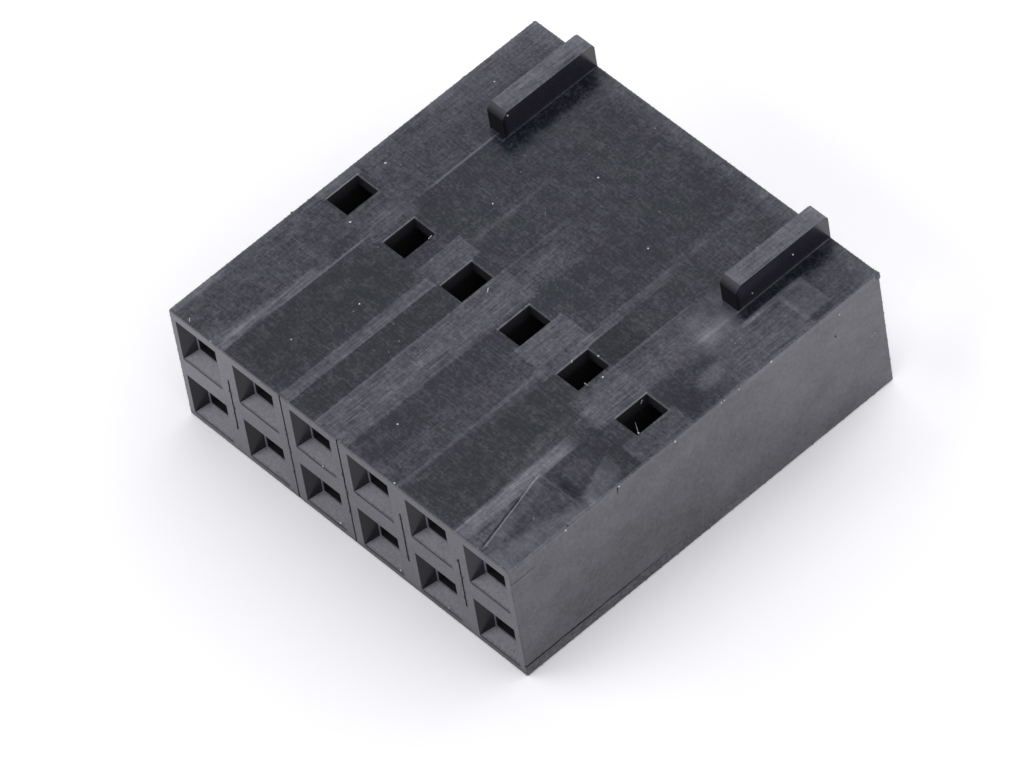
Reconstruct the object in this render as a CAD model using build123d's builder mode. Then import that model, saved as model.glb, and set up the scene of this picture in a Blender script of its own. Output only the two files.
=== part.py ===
from build123d import *
from math import atan, degrees
import os

# Contact grid
columns = 6
rows = 2
pitch = 2.54

# Outer block, measured back from the nominal grid
end_relief = 0.12
mating_end_relief = 0.16
wire_end_relief = 0.05
underside_relief = 0.12
body_length = 15.1
edge_radius = 0.06

# Mating face, with a square funnel over each pin hole
funnel_width = 1.78
funnel_height = 1.78
funnel_depth = 0.42
funnel_inset = 0.28
pin_hole = 1.04
front_wall = 0.75

# Parting grooves between the columns of the mating face, counted from the left
groove_width = 0.07
groove_depth = 0.12
short_groove_length = 2.25
short_groove_indices = (0, 2, 3, 4)

# Fine grooves over the whole height, shallower than the edge radius
fine_groove_width = 0.06
fine_groove_depth = 0.035
long_groove_overrun = 0.50
long_groove_indices = (1, 2)

# Terminal cavities
chamber_width = 1.70
chamber_height = 1.70
channel_width = 1.50
channel_height = 0.15
step_position = 8.60
rear_width = 1.90
rear_height = 1.86
lead_in = 0.10
lead_in_depth = 0.25

# Locking windows, one over each cavity
window_start = 6.05
window_length = 1.27
window_width = 0.94
window_shift = 0.24

# Polarising ribs on the wire end
rib_width = 0.69
rib_height = 0.98
rib_length = 3.82
rib_chamfer = 0.22
rib_radius = 0.18
rib_columns_in = 1

# Worked out from the sizes above
body_width = columns * pitch - 2 * end_relief
mating_end_height = rows * pitch - mating_end_relief
wire_end_height = rows * pitch - wire_end_relief
row_mid_height = rows * pitch / 2 - underside_relief
half_length = body_length / 2
cut_clearance = 1.0

# Planes that look into the block, with Y running down on the mating one
mating_plane = Plane(origin=(0, -half_length, row_mid_height), x_dir=(1, 0, 0), z_dir=(0, 1, 0))
wire_plane = Plane(origin=(0, half_length, row_mid_height), x_dir=(1, 0, 0), z_dir=(0, -1, 0))

with BuildPart() as housing:
    # Block, slightly lower at the mating end
    with BuildSketch(Plane.YZ):
        with BuildLine():
            Polyline(
                (-half_length, 0),
                (half_length, 0),
                (half_length, wire_end_height),
                (-half_length, mating_end_height),
                close=True,
            )
        make_face()
    extrude(amount=body_width / 2, both=True)
    fillet(housing.edges(), edge_radius)

    # Ribs, flush with the wire end, over the walls beside the outermost columns
    rib_top = wire_end_height + rib_height
    rib_front = half_length - rib_length
    rib_root = mating_end_height - edge_radius
    rib_offset = (columns / 2 - rib_columns_in) * pitch
    for side in (-1, 1):
        with BuildSketch(Plane.YZ.offset(side * rib_offset)) as rib_profile:
            with BuildLine():
                Polyline(
                    (half_length, rib_root),
                    (half_length, rib_top),
                    (rib_front, rib_top),
                    (rib_front, rib_root),
                    close=True,
                )
            make_face()
            top_corners = rib_profile.vertices().group_by(Axis.Y)[-1].sort_by(Axis.X)
            chamfer(top_corners[0], rib_chamfer)
            fillet(top_corners[-1], rib_radius)
        extrude(amount=rib_width / 2, both=True)

    # Funnels that guide the pins
    with BuildSketch(mating_plane):
        with GridLocations(pitch, pitch, columns, rows):
            Rectangle(funnel_width, funnel_height)
    extrude(amount=funnel_depth, taper=degrees(atan(funnel_inset / funnel_depth)), mode=Mode.SUBTRACT)

    # Square pin holes through the front wall
    with BuildSketch(mating_plane):
        with GridLocations(pitch, pitch, columns, rows):
            Rectangle(pin_hole, pin_hole)
    extrude(amount=front_wall + cut_clearance, mode=Mode.SUBTRACT)

    # Contact chambers, each with a narrower channel on its outer side for the locking tongue
    chamber_length = step_position - front_wall + cut_clearance
    body_part_height = chamber_height - channel_height
    for outward in (-1, 1):
        row_height = outward * pitch / 2
        with BuildSketch(mating_plane.offset(front_wall)):
            with Locations((0, row_height - outward * channel_height / 2)):
                with GridLocations(pitch, pitch, columns, 1):
                    Rectangle(chamber_width, body_part_height)
            with Locations((0, row_height)):
                with GridLocations(pitch, pitch, columns, 1):
                    Rectangle(channel_width, chamber_height)
        extrude(amount=chamber_length, mode=Mode.SUBTRACT)

    # Wider rear chambers, open at the wire end
    with BuildSketch(wire_plane):
        with GridLocations(pitch, pitch, columns, rows):
            Rectangle(rear_width, rear_height)
    extrude(amount=body_length - step_position, mode=Mode.SUBTRACT)

    # Lead-in round each wire entry
    with BuildSketch(wire_plane):
        with GridLocations(pitch, pitch, columns, rows):
            Rectangle(rear_width + 2 * lead_in, rear_height + 2 * lead_in)
    extrude(amount=lead_in_depth, taper=degrees(atan(lead_in / lead_in_depth)), mode=Mode.SUBTRACT)

    # Locking windows in the top for the upper row and in the underside for the lower row
    window_middle = window_start + window_length / 2 - half_length
    for outward in (-1, 1):
        row_height = row_mid_height + outward * pitch / 2
        with BuildSketch(Plane.XY.offset(row_height)):
            with Locations((-outward * window_shift, window_middle)):
                with GridLocations(pitch, pitch, columns, 1):
                    Rectangle(window_width, window_length)
        extrude(amount=outward * (pitch + cut_clearance), mode=Mode.SUBTRACT)

    # Parting grooves on the mating face
    long_groove_length = mating_end_height + 2 * long_groove_overrun
    with BuildSketch(mating_plane):
        for index in long_groove_indices:
            with Locations(((index + 1 - columns / 2) * pitch, 0)):
                Rectangle(fine_groove_width, long_groove_length)
    extrude(amount=fine_groove_depth, mode=Mode.SUBTRACT)
    with BuildSketch(mating_plane):
        for index in short_groove_indices:
            with Locations(((index + 1 - columns / 2) * pitch, 0)):
                Rectangle(groove_width, short_groove_length)
    extrude(amount=groove_depth, mode=Mode.SUBTRACT)

housing.part.label = "housing"
os.makedirs("parts", exist_ok=True)
export_step(housing.part, "parts/housing.step")
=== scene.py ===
# %% [markdown]
# # A crimp connector housing, dressed in Blender
# The object is a small black moulding of glass-filled plastic, about 15 mm square and 5 mm high.
# It holds twelve crimped contacts in two rows, and two ribs on top key it into a header.
# The shape comes from the CAD model, which is loaded as a fixed frame. Blender adds what a CAD
# model leaves out: worn edges, burrs, the grain of the plastic, a floor, light and a camera.

# %% Load the packed model
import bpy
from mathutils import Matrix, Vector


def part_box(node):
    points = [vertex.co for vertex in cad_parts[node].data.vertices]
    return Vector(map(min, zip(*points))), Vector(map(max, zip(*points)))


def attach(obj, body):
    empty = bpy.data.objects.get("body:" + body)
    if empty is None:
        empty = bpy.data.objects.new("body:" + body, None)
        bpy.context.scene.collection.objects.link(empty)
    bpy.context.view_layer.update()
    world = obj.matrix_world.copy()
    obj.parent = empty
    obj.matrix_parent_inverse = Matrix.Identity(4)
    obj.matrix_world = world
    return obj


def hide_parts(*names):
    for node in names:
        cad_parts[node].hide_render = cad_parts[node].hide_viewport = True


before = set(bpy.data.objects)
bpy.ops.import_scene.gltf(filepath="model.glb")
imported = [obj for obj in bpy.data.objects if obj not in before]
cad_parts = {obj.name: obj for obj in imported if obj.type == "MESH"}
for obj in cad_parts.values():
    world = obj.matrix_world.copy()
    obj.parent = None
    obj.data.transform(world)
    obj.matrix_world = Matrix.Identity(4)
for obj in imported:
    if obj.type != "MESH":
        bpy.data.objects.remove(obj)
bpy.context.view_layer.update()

# %% [markdown]
# ## Units and places
# Blender works in metres, and a part of this size is easier to think about in millimetres, so a
# length is written as millimetres times mm. Marks are placed by three numbers: their distance
# from the middle, their distance back from the mating face, which is the end that takes the pins,
# and their height above the underside.

# %% Units and the places that the CAD model gives
import bpy
import bmesh
from math import radians, sin, cos
from mathutils import Quaternion, Vector

mm = 0.001
low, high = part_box("housing")
mating_y, wire_y = low.y, high.y
mating_at, wire_at = mating_y / mm, wire_y / mm
left_at, right_at = low.x / mm, high.x / mm
# Height of the block at the mating end, and how far it rises towards the wire end
mating_height, wire_rise = 4.92, 0.11
top_z = mating_height * mm
pitch = 2.54
window_start, window_end = 6.05, 7.32
window_width, window_shift = 0.94, 0.24
print("housing box in mm:", [round(v / mm, 3) for v in (*low, *high)])

# %% [markdown]
# ## The camera
# The photograph looks down on the mating end from the front right, through a long lens, so
# the edges of the block stay nearly parallel. Such a camera is easiest to place from what it
# looks at: a point on the housing, two angles and a distance, and then a turn about its own line
# of sight.

# %% Camera
azimuth = radians(54.922)
elevation = radians(50.257)
roll = radians(-10.257)
distance = 315.36 * mm
aim = Vector((0.699, -1.458, 2.5)) * mm

level_part, upward_part = cos(elevation), sin(elevation)
towards_camera = Vector((sin(azimuth) * level_part, -cos(azimuth) * level_part, upward_part))
camera_data = bpy.data.cameras.new("camera")
camera_data.sensor_width = 36.0
camera_data.lens = 372.1
camera_data.clip_start = 0.01
camera_data.clip_end = 20.0
camera = bpy.data.objects.new("camera", camera_data)
camera.location = aim + towards_camera * distance
camera.rotation_mode = "QUATERNION"
level = (-towards_camera).to_track_quat("-Z", "Y")
camera.rotation_quaternion = level @ Quaternion((0, 0, 1), roll)
bpy.context.scene.collection.objects.link(camera)
bpy.context.scene.camera = camera
print("camera at", [round(v / mm, 1) for v in camera.location], "mm")

# %% [markdown]
# ## Shader arithmetic
# A procedural finish is mostly sums: this band is lighter, that one fades out, both are broken
# up by noise. Written node by node that is hard to read, so a small class wraps a node's output
# and lets Python's own operators add the Math nodes. Every other node comes from one method,
# which takes the kind of node, its settings, and the values or links of its sockets.


# %% Arithmetic on node outputs
class Socket:
    """A node's output that takes part in Python's arithmetic."""

    def __init__(self, nodes, socket):
        self.nodes = nodes
        self.socket = socket

    def math(self, operation, *values):
        """A Math node, with values or sockets as its inputs."""
        return self.nodes.add("ShaderNodeMath", {"operation": operation}, dict(enumerate(values)))

    def __add__(self, other):
        return self.math("ADD", self, other)

    def __sub__(self, other):
        return self.math("SUBTRACT", self, other)

    def __rsub__(self, other):
        return self.math("SUBTRACT", other, self)

    def __mul__(self, other):
        return self.math("MULTIPLY", self, other)

    def __abs__(self):
        return self.math("ABSOLUTE", self)

    __radd__ = __add__
    __rmul__ = __mul__

    def ramp(self, start, end):
        """0 at start and 1 at end, with soft shoulders. start may be the larger of the two."""
        settings = {"interpolation_type": "SMOOTHSTEP", "clamp": False}
        return self.nodes.add("ShaderNodeMapRange", settings, {0: self, 1: start, 2: end})

    def strip(self, start, end, soft):
        """1 between start and end, 0 outside, over soft at each side."""
        half = (end - start) / 2
        from_middle = abs(self - (start + end) / 2)
        return from_middle.ramp(half + soft / 2, half - soft / 2)

    def repeat(self, period):
        """The distance from the middle of its own cell, in a row of cells of this length."""
        return self.math("FLOORED_MODULO", self, period) - period / 2

    def within(self, lowest, highest):
        return self.nodes.add("ShaderNodeClamp", {}, {"Value": self, "Min": lowest, "Max": highest})


print("a socket can", [name for name in vars(Socket) if not name.startswith("_")])

# %% The nodes of a finish
# A Mix node has sockets for several types of value. These are the numbers of those for colours.
first_colour, second_colour, mixed_colour = 6, 7, 2


class Nodes:
    """The nodes of one material or world."""

    def __init__(self, owner, output):
        owner.use_nodes = True
        self.owner = owner
        self.tree = owner.node_tree
        self.tree.nodes.clear()
        self.end = self.tree.nodes.new(output)

    def add(self, kind, settings=None, inputs=None, output=0):
        """A node of any kind. Its settings are set before its sockets."""
        made = self.tree.nodes.new(kind)
        for name, value in (settings or {}).items():
            setattr(made, name, value)
        for name, value in (inputs or {}).items():
            if isinstance(value, Socket):
                self.tree.links.new(value.socket, made.inputs[name])
            else:
                made.inputs[name].default_value = value
        return Socket(self, made.outputs[output])

    def finish(self, shader):
        self.tree.links.new(shader.socket, self.end.inputs["Surface"])
        return self.owner

    def place(self):
        """A point of the piece in millimetres: the whole vector, and its X, Y and Z."""
        metres = self.add("ShaderNodeTexCoord", output="Object")
        scaling = {0: metres, "Scale": 1 / mm}
        point = self.add("ShaderNodeVectorMath", {"operation": "SCALE"}, scaling)
        return point, *(self.add("ShaderNodeSeparateXYZ", {}, {0: point}, axis) for axis in "XYZ")

    def noise(self, point, stretch, detail=2.0, roughness=0.5):
        """Noise round 0.5, whose features are 1 / stretch millimetres long in X, Y and Z."""
        scaled = self.add("ShaderNodeVectorMath", {"operation": "MULTIPLY"}, {0: point, 1: stretch})
        inputs = {"Vector": scaled, "Scale": 1.0, "Detail": detail, "Roughness": roughness}
        return self.add("ShaderNodeTexNoise", {}, inputs)

    def mix(self, factor, first, second):
        """A colour between two others."""
        inputs = {"Factor": factor, first_colour: first, second_colour: second}
        return self.add("ShaderNodeMix", {"data_type": "RGBA"}, inputs, mixed_colour)


def new_finish(name):
    return Nodes(bpy.data.materials.new(name), "ShaderNodeOutputMaterial")


print("a finish can", [name for name in vars(Nodes) if not name.startswith("_")])

# %% [markdown]
# ## Black moulded plastic
# Carbon black takes nearly all the light, so what the eye sees is the skin: a soft, slightly
# blue reflection of the studio. A Principled shader with a very dark colour and a middling
# roughness does that without any tricks. Rubbed places scatter light, so they are drawn by
# mixing a paler colour in, and the same paler colour paints light too: highlights on rounded
# edges, pale bands where the top catches more light, and reflections on the sides. Where a seam
# or an edge has gathered dirt, a matt film hides the reflection, and the same film paints shade
# into recesses and beside the ribs; only a second shader can do that.

# %% Plastic
plastic_ior = 1.62
wear_and_sheen = (0.29, 0.29, 0.33, 1.0)
matt_black = (0.004, 0.004, 0.005, 1.0)


def plastic(nodes, colour, roughness, normal=None, dirt_and_shade=None):
    """Black plastic. Where dirt_and_shade is 1, a dark matt film covers it: dirt in some places,
    painted shade in others.
    """
    inputs = {"Base Color": colour, "Roughness": roughness, "IOR": plastic_ior}
    if normal is not None:
        inputs["Normal"] = normal
    shader = nodes.add("ShaderNodeBsdfPrincipled", {}, inputs)
    if dirt_and_shade is not None:
        dirt_and_shade_film = nodes.add("ShaderNodeBsdfDiffuse", {}, {"Color": matt_black})
        shader = nodes.add("ShaderNodeMixShader", {}, {0: dirt_and_shade, 1: shader, 2: dirt_and_shade_film})
    return nodes.finish(shader)


def total(parts):
    """The sum of several values."""
    result = parts[0]
    for part in parts[1:]:
        result = result + part
    return result


print("reflections: IOR", plastic_ior, "- worn plastic:", wear_and_sheen, "- dirt:", matt_black)

# %% [markdown]
# ## The top face
# The top of a used housing is streaked along its length and hazy across it, with pale bands over
# the walls between the columns and darker fields over the cavities. The paleness of the bands is
# painted light, where the skin over the walls slopes and catches more of the tent; the streaks in
# them are wear. A picture painted by hand could hold all that, but it would blur in a close view.
# Here each mark is a patch: a rectangle in millimetres, with soft edges and an amount that is
# added to the shade. Noise breaks the patches up, and bends their edges, so that none of them is
# quite straight.

# %% Grain, streaks and haze of the top face
top = new_finish("top_skin")
point, across, along, up = top.place()
back = along - mating_at

# The middle numbers say how many features lie in a millimetre, so 18 across and 0.7 along the
# block make long streaks, and 1.6 across and 16 along make a haze of short cross lines
grain = top.noise(point, (9, 9, 9), 4.0, 0.75)
mottle = top.noise(point, (1.8, 1.8, 1.8), 5.0, 0.70)
brushed = top.noise(point, (18, 0.7, 1), 2.0, 0.70)
hatched = top.noise(point, (1.6, 16, 1), 2.0, 0.70)
slanting = top.add("ShaderNodeMapping", {}, {"Vector": point, "Rotation": (0, 0, radians(38))})
hairs = top.noise(slanting, (0.6, 14, 1), 2.0, 0.6).ramp(0.62, 0.80)
cloud = top.noise(point, (0.6, 0.5, 1), 3.0, 0.6)
ragged = (mottle - 0.5) * 0.12
across = across + ragged * 0.4
back = back + ragged
print("noise in the top skin:", len(top.tree.nodes), "nodes")


# %% A patch and a scratch
# Places past the edges of the block, for patches that run off it
LEFT, RIGHT = -8.0, 8.0
FRONT, REAR = -1, 16


def patch(
    left, right, start, end, amount, soft=0.08, fade=0.2, lean=0.0, far_soft=None, far_fade=None
):
    """A patch from left to right of the middle, and from start to end behind the mating face.

    Its sides are soft over soft (far_soft on the right), its ends over fade (far_fade at the
    back), and it leans to the right by lean millimetres for each millimetre back."""
    far_soft, far_fade = far_soft or soft, far_fade or fade
    beside = across - back * lean if lean else across
    width = beside.ramp(left - soft / 2, left + soft / 2)
    width = width * beside.ramp(right + far_soft / 2, right - far_soft / 2)
    length = back.ramp(start - fade / 2, start + fade / 2)
    length = length * back.ramp(end + far_fade / 2, end - far_fade / 2)
    return width * length * amount


def scratch(start, end, width, amount, fade=0.3):
    """A straight thin mark between two places on the top face."""
    run = Vector(end) - Vector(start)
    length = run.length
    run.normalize()
    beside = across * run.y - back * run.x - (start[0] * run.y - start[1] * run.x)
    onward = across * run.x + back * run.y - (start[0] * run.x + start[1] * run.y)
    return beside.strip(-width / 2, width / 2, width) * onward.strip(0, length, fade) * amount


# %% A calmer skin beside the ribs
calm = patch(-4.69, -3.8, 10.8, REAR, 0.75, 0.1, 0.6, far_soft=0.5)
calm = calm + patch(5.40, 7.4, 10.8, REAR, 0.75, 0.1, 0.6)
hatched = hatched + (0.5 - hatched) * calm
print("top skin so far:", len(top.tree.nodes), "nodes")

# %% Bands over the walls between the columns
# Painted light: the pale bands stand for light caught where the skin over the walls slopes
wall_bands = [
    # left, right, start, end, amount, softness of the sides, fade of the ends, lean
    # Left boundary, widening towards the mating face
    patch(-5.42, -5.05, FRONT, 4.3, 0.17, 0.20, 1.1, far_soft=0.06),
    patch(-5.66, -5.35, FRONT, 3.2, 0.09, 0.20, 2.0, 0.07, far_soft=0.15),
    patch(-5.75, -5.05, FRONT, 1.2, 0.09, 0.50, 2.0, far_soft=0.06),
    # Second boundary
    patch(-2.56, -2.12, FRONT, 5.95, 0.15, 0.06, 0.1),
    patch(-2.70, -2.30, 7.7, 10.6, 0.03, 0.35, 1.4),
    # Middle boundary, the widest
    patch(-1.02, 0.42, FRONT, 7.75, 0.115, 0.06, 0.12, far_soft=0.16),
    patch(-0.55, 0.15, FRONT, 7.2, 0.060, 0.50, 0.8),
    patch(-1.00, 0.45, 7.7, 10.4, 0.035, 0.10, 2.0),
    patch(-0.60, 0.10, 7.6, 9.4, 0.08, 0.40, 0.9),
    # Fourth boundary
    patch(1.55, 2.75, FRONT, 5.85, 0.050, 0.5, 0.1),
    patch(2.62, 3.02, 3.3, 5.9, 0.05, 0.15, 1.0),
    patch(2.66, 3.02, 7.2, 11.1, 0.10, 0.12, 1.0),
    patch(2.50, 2.90, 10.6, REAR, 0.045, 0.25, 1.2),
    # Right boundary, its painted light brighter towards the mating face
    patch(5.06, 5.55, 3.0, 4.45, 0.33, 0.16, 1.2, far_soft=0.20),
    patch(5.08, 5.60, FRONT, 3.0, 0.26, 0.22, 1.2, far_soft=0.25),
    patch(5.65, 6.18, FRONT, 3.0, 0.10, 0.30, 0.6, -0.255, far_soft=0.10),
    patch(4.15, 5.60, 5.6, 10.2, 0.070, 0.08, 0.6, far_soft=0.7),
    patch(4.60, 5.60, 5.6, 10.4, 0.060, 0.50, 0.6, far_soft=0.7),
    patch(4.45, 5.10, 2.6, 6.0, 0.055, 0.40, 2.0),
]
print("bands over the walls:", len(wall_bands))

# %% Fields between the windows, and behind them
fields = [
    # Between the windows
    patch(LEFT, -7.06, 5.95, 7.5, 0.12, 0.05, 0.08),
    patch(-6.12, -4.60, 5.95, 7.7, 0.075, 0.12, 0.35),
    patch(-5.55, -4.60, 5.50, 6.1, 0.06, 0.20, 0.4),
    patch(-5.40, -4.85, 6.3, 7.4, 0.05, 0.25, 0.5),
    patch(-2.98, -2.05, 5.95, 7.75, 0.13, 0.10, 0.9, far_fade=0.14),
    patch(1.50, 2.52, 5.82, 7.75, 0.165, 0.05, 0.08),
    patch(2.50, 3.05, 5.60, 7.75, 0.10, 0.05, 0.2),
    patch(4.20, 5.56, 5.44, 7.45, 0.03, 0.30, 0.10),
    patch(6.52, 7.42, 5.44, 7.55, 0.08, 0.06, 0.10),
    # Paler skin on the outermost columns on the left and in two rear fields
    patch(LEFT, -5.05, 7.6, REAR, 0.050, 0.06, 0.8),
    patch(LEFT, -6.30, 10.8, REAR, 0.045, 0.90, 1.5),
    patch(2.60, 4.10, 11.8, REAR, 0.030, 0.40, 1.5),
    patch(-4.15, -3.30, 11.0, 15.0, 0.035, 0.40, 0.8),
    patch(LEFT, -5.55, FRONT, 5.9, 0.040, 0.30, 0.1),
    patch(LEFT, -6.50, FRONT, REAR, 0.030, 0.80, 0.2),
    patch(LEFT, -7.25, FRONT, REAR, 0.070, 0.25, 0.2),
    patch(LEFT, -7.25, FRONT, 2.2, 0.12, 0.25, 0.8),
    patch(-6.50, -5.50, 2.4, 4.45, 0.03, 0.6, 0.3),
    # Rear fields
    patch(-4.0, 0.4, 8.6, REAR, 0.018, 0.9, 3.0),
    patch(1.90, 2.55, 7.6, 9.2, 0.035, 0.30, 0.9),
    patch(3.05, 4.7, 8.75, REAR, 0.014, 0.06, 0.15),
]
print("fields:", len(fields))

# %% Edges, with painted highlights on the rounded right and rear edges, and the tops of the ribs
edge_bands = [
    # Right edge and the smooth plot behind the last window
    patch(6.02, 7.45, 9.8, 12.55, 0.15, 0.25, 0.6, far_fade=0.2),
    patch(6.02, 7.45, 13.3, 15.3, 0.06, 0.20, 0.3),
    patch(5.82, 6.02, 11.0, 13.4, 0.30, 0.12, 0.6),
    # Painted highlight on the rounded right edge
    patch(7.42, RIGHT, FRONT, REAR, 0.12, 0.06, 0.1),
    # Painted highlight on the rounded rear edge, and a paler strip along the front edge
    patch(LEFT, RIGHT, 14.65, REAR, 0.110, 0.1, 0.6),
    patch(LEFT, RIGHT, FRONT, 0.20, 0.035, 0.1, 0.5),
    # Tops of the ribs
    up.ramp(5.3, 5.9) * (across.ramp(-4.0, 4.0) * 0.04 + 0.20),
]
bands = total(wall_bands + fields + edge_bands)
print("bands along the edges and ribs:", len(edge_bands))

# %% Thin bright lines and scratches
thin_lines = [
    patch(-5.08, -5.01, 2.4, 5.85, 0.26, 0.06, 0.8),
    patch(-5.07, -5.00, 8.4, 11.2, 0.30, 0.06, 0.8),
    patch(-2.60, -2.54, FRONT, 5.5, 0.05, 0.05, 1.0),
    patch(-2.17, -2.11, FRONT, 5.9, 0.05, 0.05, 1.0),
    patch(-2.56, -2.46, 7.7, 10.9, 0.07, 0.10, 1.2),
    patch(-3.39, -3.31, 7.2, 8.5, 0.07, 0.07, 0.5),
    patch(-3.00, -2.94, 7.2, 9.4, 0.06, 0.07, 0.8),
    patch(-1.02, -0.94, FRONT, 10.4, 0.07, 0.06, 1.0),
    patch(0.30, 0.40, FRONT, 5.6, 0.04, 0.08, 1.0),
    patch(2.60, 2.74, FRONT, 5.6, 0.09, 0.10, 1.0),
    patch(2.74, 2.81, 7.3, 8.3, 0.14, 0.06, 0.5),
    patch(2.97, 3.03, 7.3, 8.8, 0.14, 0.05, 0.5),
    patch(4.14, 4.22, 7.3, 10.6, 0.10, 0.06, 0.8),
    patch(5.36, 5.47, 9.6, 10.9, 0.17, 0.12, 0.6),
    patch(5.14, 5.20, FRONT, 3.2, 0.16, 0.08, 0.8),
    patch(5.50, 7.20, 3.11, 3.17, 0.12, 0.3, 0.05),
    patch(6.00, 7.10, 13.36, 13.43, 0.07, 0.2, 0.06),
    patch(-6.40, -5.50, 4.30, 4.42, 0.08, 0.4, 0.15),
    # The crease: a painted highlight on its lit side
    scratch((6.24, 0.18), (5.47, 3.12), 0.05, 0.46),
]
print("thin lines:", len(thin_lines))

# %% Smears near the right edge, and painted highlights at the roots of the ribs
smears = [
    patch(4.40, 5.50, 10.0, 11.6, 0.12, 0.60, 0.8),
    patch(5.15, 6.00, 9.7, 11.0, 0.22, 0.5, 0.7),
    patch(5.55, 7.45, 8.8, 9.9, 0.07, 0.35, 0.6),
    patch(8.20, 8.65, 8.5, 9.6, 0.13, 0.25, 0.5, -0.20),
    patch(6.00, 7.15, 12.4, 13.4, 0.14, 0.12, 0.08),
    patch(8.37, 9.15, 3.35, 4.90, 0.16, 0.20, 0.25, -0.40, far_soft=0.5),
    patch(5.85, 6.45, 3.55, 4.5, 0.05, 0.20, 0.3),
    patch(6.52, 8.2, FRONT, 3.6, 0.17, 0.50, 0.8, 0.20),
    patch(5.90, 7.20, FRONT, 3.1, 0.045, 0.3, 0.1),
    patch(6.32, 6.64, 0.4, 3.0, 0.11, 0.08, 0.5, -0.255, far_soft=0.25),
    # The root of each rib: a painted highlight on its rounded foot
    patch(-4.74, -4.69, 11.2, 15.0, 0.16, 0.05, 0.2),
    patch(5.42, 5.47, 11.2, 15.0, 0.26, 0.05, 0.2),
]
lines = total(thin_lines + smears)
print("smears and rib roots:", len(smears))

# %% Rims of the windows: painted highlights where the moulding rolls over
column = (across + window_shift).repeat(pitch)
half_window = window_width / 2
rim = half_window + 0.06
left_rim = column.strip(-rim, -half_window, 0.04)
rear_rim = column.strip(-rim, half_window + 0.02, 0.05)
painted_rim_highlights = left_rim * back.strip(window_start - 0.02, window_end + 0.06, 0.06) * 0.30
painted_rim_highlights = painted_rim_highlights + rear_rim * back.strip(window_end - 0.02, window_end + 0.05, 0.04) * 0.13
print("windows with a lit rim in each row:", round((right_at - left_at) / pitch))

# %% Dark places, where a thin film of dirt takes some of the shine, and painted shade beside the ribs and the crease
films = [
    patch(5.45, 7.42, 4.60, 5.42, 0.24, 0.55, 0.5, far_fade=0.08),
    patch(5.80, 7.05, 3.20, 3.55, 0.22, 0.25, 0.15),
    patch(6.20, 6.90, 3.20, 3.50, 0.20, 0.30, 0.15),
    patch(3.06, 4.10, 7.32, 8.75, 0.26, 0.05, 0.1, far_fade=0.3),
    patch(6.10, 7.45, 7.55, 8.4, 0.24, 0.70, 0.4, far_fade=0.6),
    patch(5.92, 6.25, 8.8, 9.6, 0.34, 0.35, 0.6),
    patch(-4.95, -2.85, FRONT, 5.9, 0.11, 0.30, 0.2),
    patch(-2.12, -1.02, FRONT, 5.9, 0.11, 0.12, 0.2),
    patch(3.00, 4.40, FRONT, 5.6, 0.08, 0.30, 0.2),
    patch(-4.85, -3.1, 7.32, 8.6, 0.08, 0.30, 0.5),
]
dirt_and_shade_film = total(films)
dirt_and_shade_film = dirt_and_shade_film * (hatched.ramp(0.38, 0.60) * 1.5 + mottle * 0.5)
# The woven haze is stronger under the film, but not in the marks that are added after it
weave = (hatched - 0.5) * (dirt_and_shade_film * 1.5 + 0.26)
# Painted shade on the shaded side of the crease
dirt_and_shade_film = dirt_and_shade_film + scratch((6.17, 0.18), (5.67, 2.2), 0.05, 0.6)
# Painted shade beside the ribs, where the top mirrors their dark walls
dirt_and_shade_film = dirt_and_shade_film + patch(-4.69, -4.12, 11.2, 15.2, 0.26, 0.20, 0.3)
dirt_and_shade_film = dirt_and_shade_film + patch(5.46, 5.82, 11.2, 15.2, 0.32, 0.20, 0.3)
print("places with film:", len(films) + 3)

# %% The shade of the top skin
streaks = (brushed - 0.5) * 2.0
speckle = (mottle - 0.5) * 0.28 + (grain - 0.5) * 0.46 + streaks * 0.04
speckle = speckle + abs(speckle) * 0.3
shade = bands * (streaks * 1.5 + 1.0) + lines * (mottle * 0.8 + 0.6) + painted_rim_highlights * (mottle + 0.5)
shade = shade + speckle * (bands * 2.0 + 1.0) + weave + hairs * 0.05 + 0.016
print("shade:", len(top.tree.nodes), "nodes so far")

# %% Blue and green tints
violet_black, blue_black = (0.0034, 0.0022, 0.0140, 1.0), (0.0000, 0.0046, 0.0110, 1.0)
tint = top.mix(cloud.ramp(0.38, 0.64), blue_black, violet_black)
bluish_places = [
    patch(5.90, 6.80, 0.2, 3.1, 0.8, 0.5, 0.5),
    patch(4.40, 5.30, 9.8, 11.8, 0.8, 0.5, 0.8),
    patch(LEFT, -5.05, 7.6, REAR, 0.3, 0.1, 0.8),
    patch(6.00, 7.20, 12.4, 14.5, 0.7, 0.2, 0.2),
    patch(0.70, 1.60, 2.6, 4.8, 0.6, 0.7, 1.0),
]
bluish = total(bluish_places)
greenish_places = [
    patch(-4.95, -2.65, FRONT, 5.9, 0.4, 0.4, 0.4),
    patch(-2.12, -1.02, FRONT, 5.9, 0.5, 0.2, 0.4),
    patch(3.00, 5.00, FRONT, 5.9, 0.8, 0.4, 0.4),
    patch(3.06, 4.15, 7.32, 9.5, 0.6, 0.1, 0.4),
]
greenish = total(greenish_places)
tint = top.mix(bluish.within(0, 1), tint, (0.0040, 0.0038, 0.0185, 1.0))
tint = top.mix(greenish, tint, (0.0, 0.0040, 0.0080, 1.0))
print("tinted places:", len(bluish_places), "bluish,", len(greenish_places), "greenish")

# %% Put the top skin together
colour = top.mix(shade.within(0, 1), tint, wear_and_sheen)
roughness = (shade * 0.7 + 0.27).within(0.2, 0.6)
height = grain * 1.0 + mottle * 0.4 + brushed * 0.25 + hatched * 0.15
bump = top.add("ShaderNodeBump", {}, {"Strength": 0.5, "Distance": 0.006 * mm, "Height": height})
top_skin = plastic(top, colour, roughness, bump, dirt_and_shade_film.within(0, 1))
print("top skin:", len(top.tree.nodes), "nodes")
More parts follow.
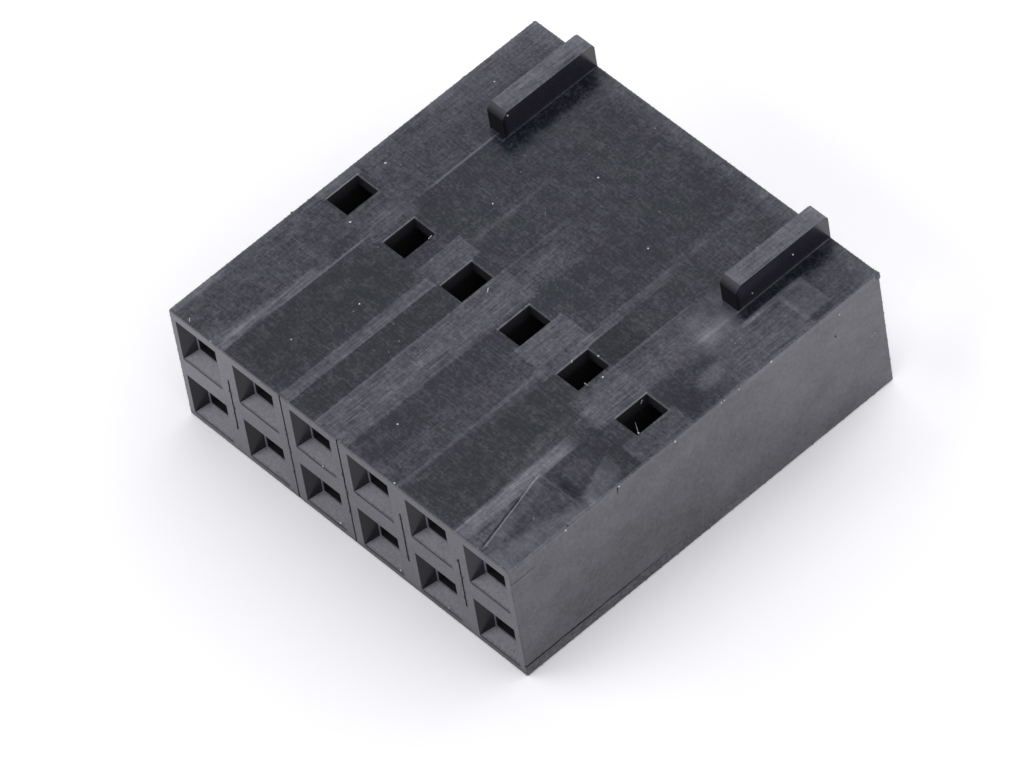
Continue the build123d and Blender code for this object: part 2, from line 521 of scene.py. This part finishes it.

# %% [markdown]
# ## The mating face
# The flat rims and the floors of the funnels have been rubbed by headers, so they are paler than
# the top. The face is also painted paler towards its left end and darker towards its foot, a
# painted reflection of the open floor to the left and of the shadow below. Each funnel keeps a
# thin dark line along its lower edge. All twelve are alike, so one cell of the pattern is
# written, and the coordinates are folded into it with a modulo.

# %% The skin of the mating face
front = new_finish("mating_skin")
point, across, along, up = front.place()
grain = front.noise(point, (11, 11, 11), 3.0, 0.7)
mottle = front.noise(point, (2.0, 2.0, 2.0), 4.0, 0.6)
underside_relief = 0.12
half_funnel = 0.89
cell_x = across.repeat(pitch)
cell_z = (up + underside_relief).repeat(pitch)
in_line = (mottle - 0.5) * 0.04 + cell_z
lower_line = in_line.strip(-half_funnel - 0.032, -half_funnel + 0.018, 0.025)
lower_line = lower_line * abs(cell_x).ramp(0.93, 0.80)
foot_line = (mottle * 0.2 + up).strip(0.22, 0.28, 0.06) * 0.3
funnel_floor = along.ramp(mating_at + 0.04, mating_at + 0.10) * 0.12
# Painted reflection: paler towards the left end, darker towards the foot
shade = up.ramp(0.05, 0.7) * 0.08 + across.ramp(-1.5, -7.0) * 0.11 + funnel_floor + 0.07
shade = shade + (mottle - 0.5) * 0.20 + (grain - 0.5) * 0.55
colour = front.mix(shade.within(0, 1), (0.010, 0.010, 0.019, 1.0), wear_and_sheen)
bump = front.add("ShaderNodeBump", {}, {"Strength": 0.5, "Distance": 0.009 * mm, "Height": grain})
dirt_and_shade = (lower_line * (mottle + 0.1) + foot_line).within(0, 1)
mating_skin = plastic(front, colour, 0.36, bump, dirt_and_shade)
print("mating skin:", len(front.tree.nodes), "nodes")

# %% [markdown]
# ## Funnels and ribs
# The walls of the funnels and of the ribs are touched by nothing, so they keep the gloss of the
# mould and look nearly black. They could be left plain, but a share of matt film paints shade on
# them: in the funnels, more so low down, and on the fronts of the ribs, which mirror the dark top.

# %% The walls of the funnels and the ribs, smooth and dark
smooth = new_finish("smooth_skin")
point, across, along, up = smooth.place()
grain = smooth.noise(point, (9, 9, 9), 3.0, 0.6)
shade = (grain - 0.5) * 0.06 + 0.004
colour = smooth.mix(shade.within(0, 1), (0.011, 0.010, 0.018, 1.0), wear_and_sheen)
back = along - mating_at
rib_front = 11.28
# Painted shade in the funnels and on the fronts of the ribs
painted_funnel_shade = back.ramp(1.5, 1.0) * (up.ramp(2.6, 1.6) * 0.12 + 0.38)
painted_rib_front_shade = back.strip(rib_front - 1, rib_front + 0.10, 0.22) * 0.75
smooth_skin = plastic(smooth, colour, 0.22, dirt_and_shade=painted_funnel_shade + painted_rib_front_shade)
print("smooth skin:", len(smooth.tree.nodes), "nodes")

# %% [markdown]
# ## The sides
# The side walls came straight from the mould, so they are smooth. Their colour is painted paler
# towards the top and the wire end, a painted reflection of the brighter floor and tent there, and
# paler along the top edge, a painted highlight. A parting line runs low along them and is painted
# dark, as shade, only where it stands open.

# %% The skin of the sides and the underside
sides = new_finish("side_skin")
point, across, along, up = sides.place()
back = along - mating_at
grain = sides.noise(point, (9, 9, 9), 3.0, 0.65)
mottle = sides.noise(point, (0.7, 0.7, 0.9), 4.0, 0.6)
dashes = sides.noise(point, (1, 2.2, 0.5), 2.0, 0.6)
# Painted reflection: paler towards the top and the wire end
shade = up.ramp(0.2, 4.9) * 0.095 + back.ramp(3.0, 15.0) * 0.09 + 0.078
coarse_foot = up.ramp(0.50, 0.42) * back.ramp(12.0, 4.0)
shade = shade + (mottle - 0.5) * 0.36 + (grain - 0.5) * (coarse_foot * 0.5 + 0.36)
# Painted highlight along the top edge
shade = shade + up.strip(4.80, 5.1, 0.08) * 0.06
colour = sides.mix(shade.within(0, 1), (0.0105, 0.0115, 0.0185, 1.0), wear_and_sheen)
# Painted shade in the open parting line
parting_line = (grain * 0.06 + dashes * 0.06 + up).strip(0.500, 0.565, 0.04)
parting = parting_line * back.ramp(7.5, 2.5) * dashes.ramp(0.10, 0.45)
below = coarse_foot * 0.10
short_line = (grain * 0.06 + up).strip(4.37, 4.42, 0.04) * back.ramp(1.10, 0.75)
short_line = short_line * dashes.ramp(0.1, 0.6) * 0.6
dirt_and_shade = (parting * 0.85 + below + short_line).within(0, 1)
bump = sides.add("ShaderNodeBump", {}, {"Strength": 0.4, "Distance": 0.004 * mm, "Height": grain})
side_skin = plastic(sides, colour, 0.34, bump, dirt_and_shade)
print("side skin:", len(sides.tree.nodes), "nodes")

# %% [markdown]
# ## Inside the cavities
# Little light gets into the cavities, so one plain dark skin is enough for all their walls. Near
# the mating face a share of matt film paints shade over them, and further back there is less of it.

# %% The inside of the cavities
inside = new_finish("cavity_skin")
point, across, along, up = inside.place()
grain = inside.noise(point, (8, 8, 8), 3.0, 0.6)
colour = inside.mix(grain, (0.007, 0.007, 0.009, 1.0), (0.020, 0.020, 0.024, 1.0))
# Painted shade: more matt film near the mating face
painted_cavity_shade = along.ramp(mating_at + 1.2, mating_at + 2.0) * -0.34 + 0.42
cavity_skin = plastic(inside, colour, 0.6, dirt_and_shade=painted_cavity_shade)
print("cavity skin:", len(inside.tree.nodes), "nodes")

# %% [markdown]
# ## The moulding
# A CAD solid has edges with no width, and no real edge is like that: the corners of these
# windows and funnels are rounded by a few hundredths of a millimetre and catch the light as thin
# bright lines. The copy of the CAD mesh is merged, its flat triangles are dissolved into
# whole faces, and its outer edges get a small bevel.

# %% Copy the CAD mesh
shell_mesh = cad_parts["housing"].data.copy()
shell_mesh.name = "housing_shell"
shell_mesh.materials.clear()
shell = bmesh.new()
shell.from_mesh(shell_mesh)
bmesh.ops.remove_doubles(shell, verts=shell.verts, dist=1e-7)
bmesh.ops.dissolve_limit(shell, angle_limit=radians(0.5), verts=shell.verts, edges=shell.edges)
print("whole faces after merging:", len(shell.faces))

# %% Round its outer edges
edge_round = 0.03 * mm
sharp = radians(50)
mating_end, wire_end = mating_y + 0.6 * mm, wire_y - 0.3 * mm


def in_groove(place):
    """Whether a place lies in a parting groove, which runs midway between two columns."""
    from_groove = place.x - round(place.x / (pitch * mm)) * pitch * mm
    return abs(from_groove) < 0.04 * mm and place.y < mating_y + 0.2 * mm


def on_outer_skin(edge):
    """Whether an edge is on the mating end, the top or the underside, away from the wire end."""
    middle = (edge.verts[0].co + edge.verts[1].co) / 2
    if middle.y > wire_end or in_groove(middle):
        return False
    return middle.y < mating_end or middle.z > top_z - 0.1 * mm or middle.z < 0.01 * mm


rounded = [
    edge
    for edge in shell.edges
    if len(edge.link_faces) == 2
    and edge.is_convex
    and edge.calc_face_angle(0) > sharp
    and on_outer_skin(edge)
]
bmesh.ops.bevel(
    shell,
    geom=rounded,
    offset=edge_round,
    offset_type="OFFSET",
    affect="EDGES",
    segments=2,
    profile=0.5,
    clamp_overlap=True,
    material=-1,
)
print("edges rounded:", len(rounded), "faces now:", len(shell.faces))
open_edges = [edge for edge in shell.edges if len(edge.link_faces) != 2]
print("open edges:", len(open_edges), "volume in mm3:", round(shell.calc_volume() / mm**3, 1))

# %% [markdown]
# ## Which finish goes where
# The faces are sorted by where they lie and which way they look. The top face, the mating face
# and the sides have their own marks, and the walls inside the cavities see almost no light.

# %% Give each face its finish
TOP, MATING, SMOOTH, SIDE, CAVITY = range(5)
skins = (top_skin, mating_skin, smooth_skin, side_skin, cavity_skin)
for material in skins:
    shell_mesh.materials.append(material)

# The funnels end before the first depth behind the mating face, the cavities start at the second
funnel_end, cavity_start = mating_y + 0.5 * mm, mating_y + 0.7 * mm
edge_room = 0.05 * mm


def finish_of(face):
    """The finish of a face, from where its middle lies and which way it looks."""
    middle = face.calc_center_median()
    facing = face.normal
    beside = low.x + edge_room < middle.x < high.x - edge_room
    in_length = cavity_start < middle.y < wire_y - 0.01 * mm
    in_height = 0.04 * mm < middle.z < top_z - 0.06 * mm
    if beside and in_length and in_height:
        return CAVITY
    if in_groove(middle) and middle.y > mating_y + 0.01 * mm:
        return CAVITY
    if middle.z > top_z + 0.15 * mm and facing.z < 0.9:
        return SMOOTH
    if facing.z > 0.6 and middle.z > top_z - 0.1 * mm:
        return TOP
    if beside and funnel_end < middle.y < cavity_start:
        return CAVITY
    if beside and middle.y < funnel_end:
        return MATING if facing.y < -0.9 or facing.z > 0.3 or facing.z < -0.9 else SMOOTH
    return SIDE


smallest_flat_face = 0.02 * mm * mm
for face in shell.faces:
    face.material_index = finish_of(face)
    face.smooth = face.calc_area() < smallest_flat_face
counts = [sum(face.material_index == k for face in shell.faces) for k in range(len(skins))]
print("faces by finish:", counts)

# %% The dressed housing
shell.to_mesh(shell_mesh)
shell.free()
housing_shell = bpy.data.objects.new("housing_shell", shell_mesh)
bpy.context.scene.collection.objects.link(housing_shell)
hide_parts("housing")
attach(housing_shell, "root")
print("housing_shell:", len(shell_mesh.polygons), "faces,", len(shell_mesh.materials), "finishes")

# %% [markdown]
# ## Crumbs and slivers
# A used moulding carries bright crumbs of glass-filled plastic, on the skin and along the edges
# of the windows. They could be painted into the finish, but they are solid grains that stand up
# from the face and catch the light, so each is a small mesh: a flattened icosphere for a crumb, a
# thin cone for a sliver. All of them go into one mesh with four finishes.

# %% Places, crumbs and slivers
crumb_mesh = bpy.data.meshes.new("crumbs")
crumb_bm = bmesh.new()
PALE, FAINT, DARK, SKIN = range(4)


def place_at(x, back_mm, height):
    """A place in millimetres, counted back from the mating face."""
    return Vector((x, mating_at + back_mm, height))


def skin_height(back_mm):
    """Height of the top face at a distance behind the mating face, in millimetres."""
    return mating_height + wire_rise * back_mm / (wire_at - mating_at)


def on_top(x, back_mm, lift=0.0):
    return place_at(x, back_mm, skin_height(back_mm) + lift)


def put_in_place(made, place, kind):
    """Moves new vertices to a place in millimetres and gives their faces a finish."""
    bmesh.ops.translate(crumb_bm, vec=place * mm, verts=made["verts"])
    for vert in made["verts"]:
        for face in vert.link_faces:
            face.material_index = kind


def crumb(place, size, flat=0.7, kind=PALE):
    """A rounded grain with its middle at a place in millimetres."""
    made = bmesh.ops.create_icosphere(crumb_bm, subdivisions=2, radius=size * mm)
    bmesh.ops.scale(crumb_bm, vec=(1, 1, flat), verts=made["verts"])
    put_in_place(made, place, kind)


def sliver(start, end, width, kind=PALE):
    """A thin cone from one place to another."""
    run = (end - start) * mm
    radius = width / 2 * mm
    made = bmesh.ops.create_cone(
        crumb_bm, cap_ends=True, segments=6, radius1=radius, radius2=radius / 2, depth=run.length
    )
    turn = run.to_track_quat("Z", "Y").to_matrix()
    bmesh.ops.rotate(crumb_bm, cent=(0, 0, 0), matrix=turn, verts=made["verts"])
    put_in_place(made, (start + end) / 2, kind)


print("height of the top face at both ends:", skin_height(0), round(mating_height + wire_rise, 3))

# %% Crumbs on the top face
crumb_scale = 0.85
largest_faint = 0.032
on_skin = [
    # x, distance behind the mating face, radius
    (-5.86, 5.93, 0.045), (-4.84, 5.92, 0.03), (-4.52, 5.83, 0.025), (-3.31, 3.97, 0.035),
    (-3.23, 3.65, 0.03), (-3.84, 1.69, 0.035), (-1.36, 3.79, 0.03), (-1.29, 3.30, 0.025),
    (-1.66, 3.06, 0.02), (-1.97, 4.13, 0.02), (-6.90, 5.12, 0.02), (-6.72, 5.16, 0.02),
    (-6.55, 5.05, 0.022), (-6.15, 3.86, 0.02), (3.53, 7.35, 0.035), (4.21, 6.89, 0.035),
    (6.60, 6.72, 0.025), (6.56, 1.90, 0.03), (0.93, 1.62, 0.035), (0.44, 1.69, 0.022),
    (2.49, 0.06, 0.035), (6.24, 0.28, 0.03), (0.68, 4.93, 0.018), (2.09, 6.40, 0.018),
    (4.08, 13.35, 0.035), (0.87, 12.37, 0.03), (1.65, 11.17, 0.035), (1.58, 11.20, 0.022),
    (1.01, 13.56, 0.022), (6.76, 14.66, 0.02), (6.22, 10.60, 0.025), (6.24, 10.38, 0.025),
    (6.44, 8.74, 0.022), (1.17, 9.24, 0.02), (0.13, 9.53, 0.018), (0.83, 7.50, 0.018),
    (-1.48, 12.07, 0.035), (-3.14, 9.27, 0.035), (-3.41, 10.67, 0.025), (-1.60, 14.53, 0.03),
    (-6.62, 12.58, 0.04), (-6.76, 8.20, 0.045), (-6.36, 8.46, 0.028), (-6.53, 10.63, 0.028),
    (-5.94, 8.78, 0.02), (-1.27, 8.49, 0.022), (-3.80, 11.20, 0.025), (-6.40, 14.50, 0.025),
    (-7.02, 11.50, 0.022), (-0.63, 11.35, 0.018), (-2.10, 13.10, 0.016), (3.30, 9.90, 0.018),
]
for x, back_mm, size in on_skin:
    crumb(on_top(x, back_mm), size * crumb_scale, kind=PALE if size > largest_faint else FAINT)
crumb(on_top(-1.31, 11.0), 0.025, 0.3, DARK)
print("crumbs on the top face:", len(on_skin) + 1)

# %% Crumbs on the right edge, the mating face and the ribs
on_right_edge = [
    # distance behind the mating face, height, radius
    (2.26, 4.84, 0.045), (4.42, 4.87, 0.035), (6.69, 4.86, 0.045), (8.58, 4.92, 0.035),
    (8.70, 4.92, 0.03), (9.30, 4.88, 0.035), (10.64, 4.94, 0.045), (13.40, 4.60, 0.03),
    (14.50, 2.60, 0.028), (14.62, 2.66, 0.02),
]
for back_mm, height, size in on_right_edge:
    crumb(place_at(right_at - 0.01, back_mm, height), size)
# Two dark specks on the right side
crumb(place_at(right_at, 13.14, 3.82), 0.03, 1.4, DARK)
crumb(place_at(right_at - 0.02, 2.38, 4.93), 0.04, 0.5, DARK)

on_mating_face = [
    # x, height, radius
    (-0.99, 2.84, 0.03), (-0.68, 0.40, 0.035), (1.98, 0.36, 0.025), (4.10, 0.38, 0.025),
    (-5.60, 4.95, 0.02), (3.45, 2.20, 0.02),
]
for x, height, size in on_mating_face:
    crumb(place_at(x, 0.02, height), size)

# On the ribs
crumb(place_at(5.43, 13.6, 5.55), 0.03)
crumb(place_at(5.43, 11.9, 5.30), 0.025)
crumb(place_at(-4.73, 11.5, 5.86), 0.03)
print("faces of the crumbs so far:", len(crumb_bm.faces))

# %% Slivers
top_slivers = [
    # start and end as x, distance behind the mating face and lift, then width and finish
    ((-0.84, 6.95, 0.01), (-0.72, 6.79, 0.02), 0.04, PALE),
    ((-6.75, 0.20, 0.01), (-6.65, 0.11, 0.02), 0.03, PALE),
    ((3.06, 6.72, 0.0), (3.13, 6.63, 0.03), 0.04, PALE),
    ((3.97, 6.37, 0.0), (4.16, 6.36, 0.03), 0.045, FAINT),
    ((5.73, 7.06, 0.02), (5.81, 6.93, 0.02), 0.03, FAINT),
    ((6.56, 6.12, 0.0), (6.22, 6.32, 0.06), 0.03, FAINT),
    ((-3.62, 7.20, 0.0), (-3.56, 7.02, 0.05), 0.03, PALE),
    ((-1.70, 10.10, 0.0), (-1.58, 9.98, 0.01), 0.02, FAINT),
]
for start, end, width, kind in top_slivers:
    sliver(on_top(*start), on_top(*end), width, kind)
# The grain that the longest one sticks to
crumb(on_top(6.55, 6.13, 0.02), 0.03)

face_slivers = [
    # start and end as x, distance behind the mating face and height, then width and finish
    ((right_at, 4.36, 4.86), (right_at, 4.34, 4.58), 0.05, DARK),
    ((right_at, 14.46, 2.54), (right_at, 14.78, 2.72), 0.035, FAINT),
    ((4.97, 0, 2.62), (4.88, 0, 2.10), 0.03, FAINT),
    ((4.88, 0, 2.10), (4.86, 0, 1.70), 0.03, FAINT),
]
for x in (-5.3, -2.2, 0.1, 2.62, 6.1, 7.1):
    face_slivers.append(((x, 0.05, 4.91), (x + 0.07, 0.02, 4.95), 0.03, FAINT))
for start, end, width, kind in face_slivers:
    sliver(place_at(*start), place_at(*end), width, kind)
print("slivers:", len(top_slivers) + len(face_slivers))

# %% [markdown]
# ## Dark grains in the grooves, and flash along the edges
# Dark grains stand in the parting grooves here and there, and where the halves of the mould met,
# the outer edges keep a ragged line of flash. A displaced edge would need a very fine mesh, so a
# row of small grains stands half sunk in the edge instead. Sine waves of odd lengths make their
# sizes and steps uneven in the same way on each run.

# %% Dark grains in the parting grooves
grooves, grains_each = 5, 11
for k in range(1, grooves + 1):
    for step in range(grains_each):
        wander = sin(k * 5.1 + step * 2.3)
        x = (k - 3) * pitch + 0.025 * wander
        height = 1.32 + 0.22 * step + 0.05 * wander
        crumb(place_at(x, 0.01, height), 0.035 + 0.012 * sin(step * 4.7 + k), 1.6, DARK)
print("grains in the grooves:", grooves * grains_each)


# %% Flash along the outer edges
def flash(start, end, count, size):
    """A row of small bits of flash along an edge, between two places in millimetres."""
    for step in range(count):
        wander = sin(step * 2.4) * sin(step * 0.9 + 1)
        place = Vector(start).lerp(Vector(end), (step + 0.5 + 0.3 * wander) / count)
        crumb(place, size * (1 + 0.55 * wander), 0.8, SKIN)


left, right = left_at + 0.02, right_at - 0.015
front_y, rear_y = mating_at + 0.03, wire_at - 0.02
foot, front_top, rear_top = 0.04, mating_height - 0.02, mating_height + wire_rise - 0.02
flash_lines = [
    # start, end, how many bits, radius
    ((right, front_y, front_top), (right, rear_y, rear_top), 70, 0.028),
    ((right, front_y, foot), (right, rear_y, foot), 46, 0.024),
    ((left, front_y, front_top), (left, rear_y, rear_top), 95, 0.019),
    ((left, front_y, front_top), (right, front_y, front_top), 46, 0.020),
    ((left, front_y, foot), (right, front_y, foot), 46, 0.024),
    ((left, front_y, foot), (left, front_y, front_top), 24, 0.024),
    ((left, rear_y, rear_top), (right, rear_y, rear_top), 90, 0.017),
    ((right, rear_y, foot), (right, rear_y, rear_top), 9, 0.018),
]
for start, end, count, size in flash_lines:
    flash(start, end, count, size)
print("bits of flash:", sum(count for start, end, count, size in flash_lines))

# %% Burrs on the left edge and the rear right corner
burrs = [
    # place, radius, flatness
    ((left, mating_at + 5.02, 4.93), 0.05, 0.7),
    ((left, mating_at + 12.1, 4.98), 0.04, 0.7),
    ((7.38, wire_at - 0.05, 5.00), 0.06, 0.8),
    ((7.46, wire_at - 0.06, 4.98), 0.09, 0.8),
    ((7.49, wire_at - 0.07, 4.89), 0.085, 1.3),
]
for place, size, flat in burrs:
    crumb(Vector(place), size, flat, SKIN)
print("crumbs and slivers:", len(crumb_bm.faces), "faces")
crumb_bm.to_mesh(crumb_mesh)
crumb_bm.free()
crumb_mesh.shade_smooth()

# %% Finishes of the crumbs
crumb_finishes = [
    # name, noise, darkest colour, palest colour, roughness; in the order PALE, FAINT, DARK, SKIN
    ("pale_crumb", 20, (0.30, 0.30, 0.33, 1.0), (0.75, 0.75, 0.78, 1.0), 0.5),
    ("faint_crumb", 20, (0.10, 0.10, 0.12, 1.0), (0.28, 0.28, 0.31, 1.0), 0.5),
    ("dark_crumb", 20, matt_black, (0.012, 0.012, 0.014, 1.0), 0.7),
    ("burr", 12, (0.04, 0.04, 0.05, 1.0), (0.12, 0.12, 0.14, 1.0), 0.4),
]
for name, stretch, darkest, palest, roughness in crumb_finishes:
    finish = new_finish(name)
    point = finish.place()[0]
    blotches = finish.noise(point, (stretch, stretch, stretch)).ramp(0.3, 0.7)
    colour = finish.mix(blotches, darkest, palest)
    crumb_mesh.materials.append(plastic(finish, colour, roughness))

crumbs = bpy.data.objects.new("crumbs", crumb_mesh)
bpy.context.scene.collection.objects.link(crumbs)
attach(crumbs, "root")
print("crumbs:", len(crumb_mesh.polygons), "faces,", len(crumb_mesh.materials), "finishes")

# %% [markdown]
# ## Floor and light
# The housing lies in a light tent: white all round, so that the shadow is only the soft one that
# the block casts by hiding part of the tent. The floor is one large sheet of paper. To the
# camera its colour is a little above white, so that it clips to white away from the block and
# keeps the shadow near it. Behind the block and to its right the paper is whiter still, because
# the shadow there is weaker than an even tent gives. Light Path nodes add this white only where
# the paper is looked at, straight or in a reflection, so it throws no more light on the block.

# %% Floor
floor_size = 3.0
floor_gap = 0.005 * mm
floor_bm = bmesh.new()
bmesh.ops.create_grid(floor_bm, x_segments=1, y_segments=1, size=floor_size / 2)
bmesh.ops.translate(floor_bm, verts=floor_bm.verts, vec=(0, 0, -floor_gap))
floor_mesh = bpy.data.meshes.new("floor")
floor_bm.to_mesh(floor_mesh)
floor_bm.free()
floor = bpy.data.objects.new("floor", floor_mesh)
bpy.context.scene.collection.objects.link(floor)
print("floor:", floor_size, "m square")

# %% Paper
paper = new_finish("paper")
seen = (
    paper.add("ShaderNodeLightPath", output="Is Camera Ray")
    + paper.add("ShaderNodeLightPath", output="Is Glossy Ray")
    + paper.add("ShaderNodeLightPath", output="Is Transmission Ray")
)
point, across, along, up = paper.place()
on_right = across.ramp(7.5, 9.2) * across.ramp(13.5, 9.5) * along.ramp(-9.0, -5.0) * 0.08
at_corner = across.ramp(6.5, 8.0) * across.ramp(10.5, 8.0)
at_corner = at_corner * along.ramp(3.0, 7.0) * along.ramp(9.5, 7.0) * 0.14
behind = across.ramp(-9.0, -3.0) * across.ramp(9.0, 5.5)
behind = behind * along.ramp(5.5, 7.5) * along.ramp(12.5, 8.0) * 0.35
light_paper, added_white = 0.88, 0.21
paper_white = seen * (on_right + at_corner + behind + added_white) + light_paper
diffuse = paper.add("ShaderNodeBsdfDiffuse", {}, {"Color": paper_white})
floor_mesh.materials.append(paper.finish(diffuse))
print("paper:", len(paper.tree.nodes), "nodes")

# %% [markdown]
# ## The tent
# A lamp would draw a hard highlight on the gloss of the plastic, and the real one shows none, so
# the world itself is the light: an even white, a little stronger from behind and from the left.
# The part of it that the top face mirrors is dim, so that the skin looks dark, and a patch to the
# front left is brighter and lights up the rounded front edges.

# %% World
tent = Nodes(bpy.data.worlds.new("tent"), "ShaderNodeOutputWorld")
bpy.context.scene.world = tent.owner
direction = tent.add("ShaderNodeTexCoord", output="Generated")


def towards(side):
    """1 in the direction of a side, 0 square to it and -1 away from it, times its length."""
    settings = {"operation": "DOT_PRODUCT"}
    return tent.add("ShaderNodeVectorMath", settings, {0: direction, 1: side}, "Value")


dim_side = Vector((-0.52, 0.37, 0.77)).normalized()
lamp_side = Vector((-0.52, -0.49, 0.70)).normalized()
tent_light = towards((-0.09, 0.10, 0)) + 1.01
tent_light = tent_light - towards(dim_side).ramp(0.86, 0.98) * 0.46
tent_light = tent_light + towards(lamp_side).ramp(0.945, 0.985) * 1.6
tent_white = (0.988, 0.981, 1.016, 1.0)
background = tent.add("ShaderNodeBackground", {}, {"Color": tent_white, "Strength": tent_light})
tent.finish(background)
bpy.context.scene.view_settings.view_transform = "Standard"
print("tent:", len(tent.tree.nodes), "nodes")

# %% [markdown]
# ## The end
